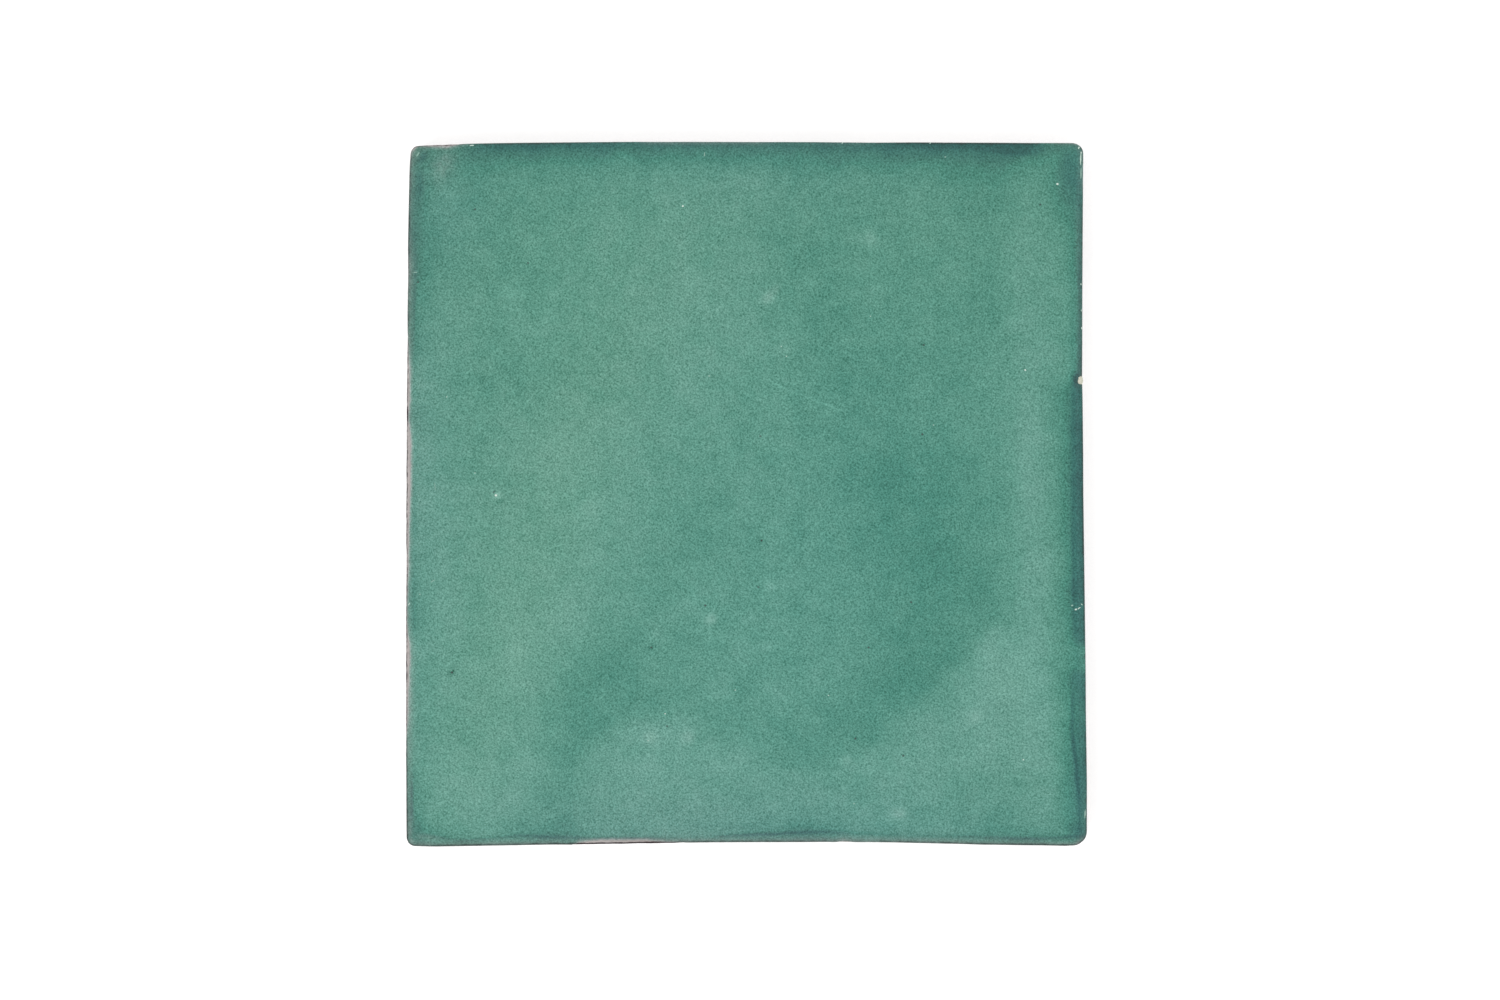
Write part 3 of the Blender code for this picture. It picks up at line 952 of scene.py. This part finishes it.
# %% Build the crumbs
# x, y, half length, half width, turn, and paleness: 0 is iron black and 1 is white
CRUMBS = [
    (47.42, 47.27, .2, .17, 0, 1), (50.22, -17.61, .2, .13, 20, 1),
    (50.7, -17.42, .32, .08, 35, .8), (51.1, -16.83, .22, .09, -35, .75),
    (49.65, -17, .17, .13, 0, .65), (-9.7, 43.9, .16, .14, 0, .9),
    (42.5, 18.9, .16, .14, 0, .9), (-38.2, -.2, .2, .18, 0, .9),
    (-12.4, -33.5, .12, .11, 0, .8), (42.2, -40.5, .12, .11, 0, .8),
    (12.5, -30.7, .12, .1, 0, .75), (-1.7, -29.9, .12, .1, 0, .75),
    (-50.5, 33.8, .36, .07, 0, .66), (-49.8, -15.3, .12, .1, 0, .7),
    (5.3, 22.5, .11, .1, 0, .75), (6.1, 21, .11, .1, 0, .75), (-6.4, 51.8, .36, .09, 82, .62),
    (-50.1, 51.8, .45, .12, 55, .62), (-47.8, -13.25, .42, .07, 32, .64),
    (-47.5, 1.15, .65, .06, -82, .62), (-15, -37.6, .11, .1, 0, .75),
    (-45.7, 14.8, .11, .1, 0, .75), (-5.7, 18, .11, .1, 0, .75), (-41.4, 3.2, .11, .1, 0, .75),
    (30.3, 51.4, .14, .11, 0, .62), (18.9, 27.1, .11, .1, 0, .7),
    (16.4, -47.2, .11, .1, 0, .7), (28.5, 10.5, .11, .1, 0, .7),
    (50.95, 51, .95, .11, 87, .78), (51, 48.9, .9, .08, 89, .72),
    (50.65, 52.75, .25, .1, 60, .9), (51, 52, .22, .12, 80, 1), (51.6, -48.9, .8, .1, 86, .75),
    (51.1, 25.3, .2, .08, 90, .85), (51.05, 28, .22, .08, 90, .8), (51, 32, .16, .08, 90, .8),
    (-41.9, 53.15, .35, .09, 5, .9), (-51.4, -16.7, .3, .08, 60, .9),
    (14.6, 53.5, .2, .08, 60, .8), (28, 53.5, .2, .08, 50, .8), (2.3, -7.1, .2, .15, 30, .1),
    (-44.9, -27.2, .22, .18, 0, .15), (-14.5, -23.4, .17, .15, 0, .2),
    (27, 22.7, .18, .15, 0, .2), (18.6, -23.4, .17, .14, 0, .25),
    (44.8, 44.1, .17, .14, 0, .25), (-33.3, 35.2, .17, .14, 0, .3),
    (-41.4, 43.4, .17, .14, 0, .25), (23.9, -39.9, .18, .16, 0, .25),
    (26.8, 9.1, .18, .16, 0, .2), (-6.3, -17, .18, .16, 0, .25),
    (25.1, -16.5, .18, .15, 0, .25), (16.6, -37.3, .18, .15, 0, .2),
    (1.8, -14.2, .17, .15, 0, .3), (-12.1, -35.4, .17, .15, 0, .3),
    (2.1, 8.8, .17, .15, 0, .3), (-50.1, 32.3, .2, .17, 0, .25), (-38.5, .3, .25, .12, 40, .3),
]
# Half height, depth and number of dents, and how far down the rim a crumb may lie
CRUMB_HEIGHT = 0.05
CRUMB_DENT, CRUMB_DENTS = 0.25, 1.3
SKIN_DEPTH = 0.3
skin_points = coat_places[coat_places[:, 2] > CLAY_TOP - SKIN_DEPTH]
bm = bmesh.new()
pale = bm.verts.layers.float.new("paleness")
for x, y, length, width, turn, paleness in CRUMBS:
    nearest = np.argmin(np.linalg.norm(skin_points[:, :2] - (x, y), axis=1))
    made = bmesh.ops.create_icosphere(bm, subdivisions=2, radius=1)["verts"]
    for vert in made:
        dent = noise.noise(vert.co * CRUMB_DENTS + Vector((x, y, 0)))
        vert.co *= 1 + CRUMB_DENT * dent
        vert[pale] = paleness
    bmesh.ops.scale(bm, verts=made, vec=(length, width, CRUMB_HEIGHT))
    bmesh.ops.rotate(bm, verts=made, matrix=Matrix.Rotation(math.radians(turn), 3, "Z"))
    bmesh.ops.translate(bm, verts=made, vec=(x, y, skin_points[nearest, 2]))
bmesh.ops.scale(bm, verts=bm.verts, vec=(MM, MM, MM))
crumbs = made_mesh(bm, "crumbs")
print("crumbs:", len(CRUMBS), "of them,", len(crumbs.polygons), "faces")

# %% [markdown]
# ## Nodes
#
# Materials are built from nodes in the same few lines each time, so one helper adds a node of
# any kind, and another fills or links the inputs of a node, the shader's too. Colours are
# written as the sRGB hex values that an eye would pick, and turned into the linear light that a
# renderer adds up. A stop of a ramp may also be a plain share of light.

# %% Node helper and colours
def linear(hex_colour):
    """An sRGB hex value as the linear colour that a shader takes."""
    channels = [int(hex_colour[place:place + 2], 16) / 255 for place in (0, 2, 4)]
    lit = [c / 12.92 if c <= 0.04045 else ((c + 0.055) / 1.055) ** 2.4 for c in channels]
    return (*lit, 1.0)


def fill(tree, node, inputs):
    """Sets the inputs of a node to their values, or links them where these are sockets."""
    for name, value in inputs.items():
        if isinstance(value, bpy.types.NodeSocket):
            tree.links.new(value, node.inputs[name])
        else:
            node.inputs[name].default_value = value


def add_node(tree, kind, inputs=None, stops=(), **settings):
    """Adds a node, with its settings, its inputs and the stops of its ramp."""
    added = tree.nodes.new("ShaderNode" + kind)
    for name, value in settings.items():
        setattr(added, name, value)
    fill(tree, added, inputs or {})
    for number, (position, colour) in enumerate(stops):
        elements = added.color_ramp.elements
        stop = elements[number] if number < len(elements) else elements.new(position)
        stop.position = position
        stop.color = linear(colour) if isinstance(colour, str) else (colour,) * 3 + (1,)
    return added


def new_material(name):
    """A material, its tree of nodes and its one shader."""
    material = bpy.data.materials.new(name)
    material.use_nodes = True
    tree = material.node_tree
    return material, tree, tree.nodes["Principled BSDF"]


print("the glaze's middle green in linear light:", [round(c, 3) for c in linear("538f7f")])

# %% [markdown]
# ## Sea-green glaze
#
# An earthenware glaze, melted on in the kiln: glass coloured with copper, clouded by fine
# bubbles. Thin glass over a pale body is pale and thick glass is dark, so one ramp from
# thickness to colour makes clouds, bead and crease alike, and where the glaze is milky a grey
# film lies over that colour.

# %% Glaze: colour from thickness
# Thickness in mm and the colour that it gives
THICKEST = 1.3
GLAZE_STOPS = [
    (0.0, "a4a9a6"), (0.16, "849992"), (0.30, "6c998d"), (0.42, "689d8e"),
    (0.51, "659a8c"), (0.65, "538f7f"), (0.80, "3d8171"), (0.90, "387669"),
    (1.02, "2a6860"), (1.10, "205b56"), (1.3, "124e4b"),
]
# Size of the soft mottling, its depth in mm of glaze, and size of the milky blotches
MOTTLE = 4.5 * MM
MOTTLE_DEPTH = 0.36
BLOTCH = 0.8 * MM
MILK_GREY = "b0b0af"
glaze, tree, shader = new_material("glazed_earthenware_sea_green")
coords = add_node(tree, "TexCoord").outputs["Object"]
thick = add_node(tree, "Attribute", attribute_name="glaze_thickness")
veil = add_node(tree, "Attribute", attribute_name="milk")
tint = add_node(tree, "Attribute", attribute_name="tint")

mottle = add_node(tree, "TexNoise", {
    "Vector": coords, "Scale": 1 / MOTTLE, "Detail": 4.0, "Roughness": 0.7})
mottled = add_node(tree, "Math", {
    0: mottle.outputs["Fac"], 1: MOTTLE_DEPTH, 2: thick.outputs["Fac"]},
    operation="MULTIPLY_ADD")
scaled = add_node(tree, "Math", {
    0: mottled.outputs[0], 1: 1 / THICKEST, 2: -MOTTLE_DEPTH / 2 / THICKEST},
    operation="MULTIPLY_ADD")
ramp = add_node(tree, "ValToRGB", {"Fac": scaled.outputs[0]},
                stops=[(place / THICKEST, colour) for place, colour in GLAZE_STOPS])

drifted = add_node(tree, "VectorMath", {
    0: ramp.outputs["Color"], 1: tint.outputs["Vector"]}, operation="MULTIPLY")
blotches = add_node(tree, "TexNoise", {
    "Vector": coords, "Scale": 1 / BLOTCH, "Detail": 2.0, "Roughness": 0.6})
uneven = add_node(tree, "MapRange", {
    "Value": blotches.outputs["Fac"], "From Min": 0.35, "From Max": 0.65, "To Min": 0.75,
    "To Max": 1.2})
milky = add_node(tree, "Math", {
    0: veil.outputs["Fac"], 1: uneven.outputs[0]}, operation="MULTIPLY")
clouded = add_node(tree, "Mix", {
    "Factor": milky.outputs[0], "A": drifted.outputs[0], "B": linear(MILK_GREY)},
    data_type="RGBA")
print("glaze colours:", len(GLAZE_STOPS), "for", THICKEST, "mm")

# %% [markdown]
# The bubbles make the face look powdery from close by: lighter and darker specks a quarter of
# a millimetre across, which gather in faint curds a few millimetres wide. They are a shift of
# grey, by the same number of levels in each channel. Light is linear and levels are not, so
# the shift goes through a gamma, which makes it larger where the colour is lighter. The pale
# and dark flecks of the marks and a faint scratch are such shifts as well.

# %% Glaze: specks, curds and scratch
# Single bubbles are finer than a tenth of a millimetre. They are drawn coarser, as the specks
# in which they gather, since finer ones would blend to an even green from this far.
SPECK = 0.25 * MM
CURD = 2.6 * MM
CURD_SHIFT = 0.053
# Thick glaze has let more of its bubbles go: speckling of thin and of thick glaze
SPECKLING = (1.05, 0.75)
# The scratch of a dry cloth, in two strokes: x, y, half length in mm, turn and brightness
SCRATCHES = [(5.3, 16.35, 3.8, -25, 0.12), (11.2, 14, 4.9, -21.7, 0.16)]
SCRATCH_WIDTH = 0.24 * MM
# Noise is built on a square lattice, and cut along it the lattice shows, so it is turned.
turned = add_node(tree, "Mapping", {"Vector": coords, "Rotation": (0.5, 0.35, 0.6)})
specks = add_node(tree, "TexNoise", {
    "Vector": turned.outputs[0], "Scale": 1 / SPECK, "Detail": 1.0, "Roughness": 0.6})
centred = add_node(tree, "Math", {0: specks.outputs["Fac"], 1: 0.5},
                   operation="SUBTRACT")
fewer = add_node(tree, "MapRange", {
    "Value": thick.outputs["Fac"], "From Min": 0.85, "From Max": 1.05,
    "To Min": SPECKLING[0], "To Max": SPECKLING[1]})
curds = add_node(tree, "TexNoise", {
    "Vector": turned.outputs[0], "Scale": 1 / CURD, "Detail": 3.0, "Roughness": 0.55})
gathered = add_node(tree, "MapRange", {
    "Value": curds.outputs["Fac"], "To Min": -CURD_SHIFT, "To Max": CURD_SHIFT})
strength = add_node(tree, "Math", {
    0: centred.outputs[0], 1: fewer.outputs[0], 2: gathered.outputs[0]},
    operation="MULTIPLY_ADD")
flecks = add_node(tree, "Attribute", attribute_name="fleck")
strength = add_node(tree, "Math", {
    0: strength.outputs[0], 1: flecks.outputs["Fac"]}, operation="ADD")
for x, y, length, turn, bright in SCRATCHES:
    local = add_node(tree, "Mapping", {
        "Vector": coords, "Location": (x * MM, y * MM, 0),
        "Rotation": (0, 0, math.radians(turn)),
        "Scale": (length * MM, SCRATCH_WIDTH, 1)}, vector_type="TEXTURE")
    off = add_node(tree, "VectorMath", {0: local.outputs[0]}, operation="LENGTH")
    faint = add_node(tree, "MapRange", {
        "Value": off.outputs["Value"], "From Min": 1.0, "From Max": 0.3, "To Max": bright})
    strength = add_node(tree, "Math", {
        0: strength.outputs[0], 1: faint.outputs[0]}, operation="ADD")
response = add_node(tree, "Gamma", {
    "Color": clouded.outputs[2], "Gamma": 1 - 1 / 2.4})
speckled = add_node(tree, "VectorMath", {
    0: response.outputs[0], 1: strength.outputs[0], 2: clouded.outputs[2]},
    operation="MULTIPLY_ADD")
print("strokes of the scratch:", len(SCRATCHES))

# %% [markdown]
# Over everything go a grey dusk that darkens the rim near its edge, and on the arris the dark
# line of painted shade, broken into flakes by a noise. The gloss of this glaze is soft, since
# its bubbles have dulled it, and what is left of them is felt as the faintest bump.

# %% Glaze: grey rim, painted shade and gloss
# Size of the flakes in the dark line of painted shade
SHADE_FLAKE = 1.1 * MM
DUSK_GREY = "5c5254"
# Colour of the dark line of painted shade on the arris
SHADE_BLACK = "0e2c26"
GLAZE_IOR = 1.5
dusk_share = add_node(tree, "Attribute", attribute_name="dusk")
shade_share = add_node(tree, "Attribute", attribute_name="arris_shade")
dusky = add_node(tree, "Mix", {
    "Factor": dusk_share.outputs["Fac"], "A": speckled.outputs[0], "B": linear(DUSK_GREY)},
    data_type="RGBA")
# The dark line on the arris is painted shade, broken into flakes by a noise.
flake_noise = add_node(tree, "TexNoise", {
    "Vector": coords, "Scale": 1 / SHADE_FLAKE, "Detail": 2.0, "Roughness": 0.6})
broken = add_node(tree, "Math", {
    0: flake_noise.outputs["Fac"], 1: -1.2, 2: shade_share.outputs["Fac"]}, operation="MULTIPLY_ADD")
shade_mask = add_node(tree, "MapRange", {
    "Value": broken.outputs[0], "From Min": -0.35, "From Max": 0.35, "To Max": 0.95})
shaded = add_node(tree, "Mix", {
    "Factor": shade_mask.outputs[0], "A": dusky.outputs[2], "B": linear(SHADE_BLACK)},
    data_type="RGBA")

shine = add_node(tree, "MapRange", {
    "Value": mottle.outputs["Fac"], "From Min": 0.3, "From Max": 0.7, "To Min": 0.3,
    "To Max": 0.38})
skin = add_node(tree, "Bump", {
    "Height": specks.outputs["Fac"], "Strength": 0.06, "Distance": 0.05 * MM})
fill(tree, shader, {"Base Color": shaded.outputs[2], "Roughness": shine.outputs[0],
                    "Normal": skin.outputs["Normal"], "IOR": GLAZE_IOR})
print(glaze.name, len(tree.nodes), "nodes")

# %% [markdown]
# ## Fired clay
#
# Pale earthenware, cut with a wire and fired: chalky, without gloss, faintly pink where the
# kiln was hottest and grey where hands and stacking have left dirt. The grains of sand in it
# are a third of a millimetre. The wire dragged some of them along and left streaks a
# millimetre apart across the back, so a second noise is stretched along the cut. On the arris
# lies the same dark line of painted shade as on the glaze.

# %% Clay material
# Sizes of the pink and grey flush, the sand, the wire's streaks and the flakes of painted shade
FLUSH = 7 * MM
GRAIN = 0.33 * MM
STREAK = 1.1 * MM
STREAK_LENGTH = 16 * MM
STREAK_TURN = 0.06
FLAKE = 0.7 * MM
# Colour of the dark line of painted shade on the clay's arris
SHADE_BROWN = "2c2023"
clay, tree, shader = new_material("fired_earthenware_wire_cut")
coords = add_node(tree, "TexCoord").outputs["Object"]
flush = add_node(tree, "TexNoise", {
    "Vector": coords, "Scale": 1 / FLUSH, "Detail": 3.0, "Roughness": 0.6})
ramp = add_node(tree, "ValToRGB", {"Fac": flush.outputs["Fac"]},
                stops=[(0.3, "aea8a5"), (0.5, "b6b1af"), (0.7, "beb6b4")])
sand = add_node(tree, "TexNoise", {
    "Vector": coords, "Scale": 1 / GRAIN, "Detail": 2.0, "Roughness": 0.7})
sandy = add_node(tree, "ValToRGB", {"Fac": sand.outputs["Fac"]},
                 stops=[(0.25, 0.62), (0.42, 0.95), (0.7, 1.0)])
grained = add_node(tree, "Mix", {
    "Factor": 1.0, "A": ramp.outputs["Color"], "B": sandy.outputs["Color"]},
    data_type="RGBA", blend_type="MULTIPLY")
along_cut = add_node(tree, "Mapping", {
    "Vector": coords, "Rotation": (0, 0, STREAK_TURN),
    "Scale": (1 / STREAK_LENGTH, 1 / STREAK, 1 / STREAK)})
dragged = add_node(tree, "TexNoise", {
    "Vector": along_cut.outputs[0], "Scale": 1.0, "Detail": 3.0, "Roughness": 0.65})
streaks = add_node(tree, "ValToRGB", {"Fac": dragged.outputs["Fac"]},
                   stops=[(0.3, 0.84), (0.45, 0.98), (0.65, 1.0)])
streaked = add_node(tree, "Mix", {
    "Factor": 1.0, "A": grained.outputs[2], "B": streaks.outputs["Color"]},
    data_type="RGBA", blend_type="MULTIPLY")
# The dark line of painted shade lies on the clay's arris too, broken into flakes by a noise.
shade_share = add_node(tree, "Attribute", attribute_name="arris_shade")
flake_noise = add_node(tree, "TexNoise", {
    "Vector": coords, "Scale": 1 / FLAKE, "Detail": 2.0, "Roughness": 0.6})
broken = add_node(tree, "Math", {
    0: flake_noise.outputs["Fac"], 1: -2.0, 2: shade_share.outputs["Fac"]}, operation="MULTIPLY_ADD")
patchy = add_node(tree, "MapRange", {
    "Value": broken.outputs[0], "From Min": -0.65, "From Max": -0.05, "To Max": 0.95})
shade_mask = add_node(tree, "Math", {
    0: patchy.outputs[0], 1: shade_share.outputs["Fac"]}, operation="MULTIPLY", use_clamp=True)
shaded = add_node(tree, "Mix", {
    "Factor": shade_mask.outputs[0], "A": streaked.outputs[2], "B": linear(SHADE_BROWN)},
    data_type="RGBA")
chalky = add_node(tree, "MapRange", {
    "Value": sand.outputs["Fac"], "To Min": 0.8, "To Max": 0.95})
relief = add_node(tree, "Math", {
    0: sand.outputs["Fac"], 1: dragged.outputs["Fac"]}, operation="ADD")
grainy = add_node(tree, "Bump", {
    "Height": relief.outputs[0], "Strength": 0.5, "Distance": 0.1 * MM})
fill(tree, shader, {"Base Color": shaded.outputs[2], "Roughness": chalky.outputs[0],
                    "Normal": grainy.outputs["Normal"]})
print(clay.name, len(tree.nodes), "nodes")

# %% [markdown]
# ## Grit
#
# A grain of cream quartz sand, half melted: pale, a little glassy, browner on the side where
# the glaze has run round it.

# %% Grit material
PATCH = 0.5 * MM
quartz, tree, shader = new_material("quartz_grit_fused")
coords = add_node(tree, "TexCoord").outputs["Object"]
patches = add_node(tree, "TexNoise", {
    "Vector": coords, "Scale": 1 / PATCH, "Detail": 3.0, "Roughness": 0.6})
ramp = add_node(tree, "ValToRGB", {"Fac": patches.outputs["Fac"]},
                stops=[(0.32, "a09b84"), (0.45, "c3c4b0"), (0.6, "d8d8c8")])
glassy = add_node(tree, "MapRange", {
    "Value": patches.outputs["Fac"], "To Min": 0.4, "To Max": 0.7})
fill(tree, shader, {"Base Color": ramp.outputs["Color"], "Roughness": glassy.outputs[0]})
print(quartz.name, len(tree.nodes), "nodes")

# %% [markdown]
# ## Crumbs
#
# Dust, ash and iron scale, fused into the glaze. A bubble or a crumb of ash is pale with the
# green of the glaze in it, and iron scale is nearly black. The paleness of each crumb was kept
# on its points, and a fine noise keeps them from being flat.

# %% Crumb material
DUST = 0.15 * MM
dust, tree, shader = new_material("kiln_dust_fused")
coords = add_node(tree, "TexCoord").outputs["Object"]
pale_share = add_node(tree, "Attribute", attribute_name="paleness")
grains = add_node(tree, "TexNoise", {
    "Vector": coords, "Scale": 1 / DUST, "Detail": 2.0, "Roughness": 0.6})
varied = add_node(tree, "Math", {
    0: grains.outputs["Fac"], 1: 0.2, 2: pale_share.outputs["Fac"]},
    operation="MULTIPLY_ADD")
ramp = add_node(tree, "ValToRGB", {"Fac": varied.outputs[0]},
                stops=[(0.1, "141c1a"), (0.35, "35564e"), (0.6, "5f9486"), (0.85, "a5c8ba"),
                       (1.1 / 1.2, "cfe4d9")])
dull = add_node(tree, "MapRange", {
    "Value": grains.outputs["Fac"], "To Min": 0.35, "To Max": 0.6})
fill(tree, shader, {"Base Color": ramp.outputs["Color"], "Roughness": dull.outputs[0]})
print(dust.name, len(tree.nodes), "nodes")

# %% [markdown]
# ## Put the pieces on the tile
#
# All four pieces ride on the tile's one body and stand for its one solid. Shading is smooth,
# since the rings already give every edge its true rounding.

# %% Pieces
def add_object(name, data):
    """A new object in the scene, at the origin."""
    made = bpy.data.objects.new(name, data)
    bpy.context.scene.collection.objects.link(made)
    return made


for mesh, material in ((coat, glaze), (slab, clay), (grit, quartz), (crumbs, dust)):
    mesh.materials.append(material)
    mesh.shade_smooth()
    mesh.update()
    piece = add_object(mesh.name, mesh)
    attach(piece, "root")
    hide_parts("glazed_tile")
    print(piece.name, len(mesh.polygons), "faces")

# %% [markdown]
# ## Floor
#
# The tile lies on a pure white table. The table glows a little, like a light table, so that it
# stays white and takes hardly any shadow. One large square is enough for that.

# %% Floor
TABLE_HALF_SIZE = 3.0
bm = bmesh.new()
bmesh.ops.create_grid(bm, x_segments=1, y_segments=1, size=TABLE_HALF_SIZE)
floor = add_object("white_table", made_mesh(bm, "white_table"))
white, tree, shader = new_material("white_table")
fill(tree, shader, {"Base Color": linear("f4f4f4"), "Roughness": 0.9,
                    "Emission Color": (1, 1, 1, 1), "Emission Strength": 0.35})
floor.data.materials.append(white)
print("table:", 2 * TABLE_HALF_SIZE, "m square")

# %% [markdown]
# ## Light
#
# A pale room lights the tile evenly from all round. Two wide, soft boxes are added, and the
# one at the lower left is stronger, so that it gives the rolled edges their shape.

# %% Lights
LIGHTS = [
    # name, place and size in metres, and power in watts
    ("key", (-0.45, -0.45, 0.75), 0.5, 3.1),
    ("fill", (0.5, 0.35, 0.8), 0.6, 1.1),
]
for name, place, size, power in LIGHTS:
    lamp = bpy.data.lights.new(name, "AREA")
    lamp.shape, lamp.size, lamp.energy = "SQUARE", size, power
    light = add_object(name, lamp)
    light.location = place
    light.rotation_euler = (-Vector(place)).to_track_quat("-Z", "Y").to_euler()
    light.visible_camera = False

ROOM_LIGHT = 0.74
world = bpy.data.worlds.new("pale_room")
world.use_nodes = True
background = world.node_tree.nodes["Background"]
background.inputs["Color"].default_value = (1, 1, 1, 1)
background.inputs["Strength"].default_value = ROOM_LIGHT
bpy.context.scene.world = world
bpy.context.scene.view_settings.view_transform = "Standard"
print("lights:", [row[0] for row in LIGHTS])

# %% [markdown]
# ## Camera
#
# The tile is seen straight from above, through a long lens from more than a metre away, so
# that its sides hardly show. A camera without a turn looks straight down.

# %% Camera
# Focal length, distance, level of the face, and the point straight below, all in mm
LENS = 200
DISTANCE = 1271.6
FACE_LEVEL = 5.2
AIM = (0.53, -0.92)
camera_data = bpy.data.cameras.new("overhead")
camera_data.lens = LENS
camera = add_object("overhead", camera_data)
camera.location = (AIM[0] * MM, AIM[1] * MM, (DISTANCE + FACE_LEVEL) * MM)
bpy.context.scene.camera = camera
print("camera:", round(DISTANCE / 1000, 2), "m above the glaze")
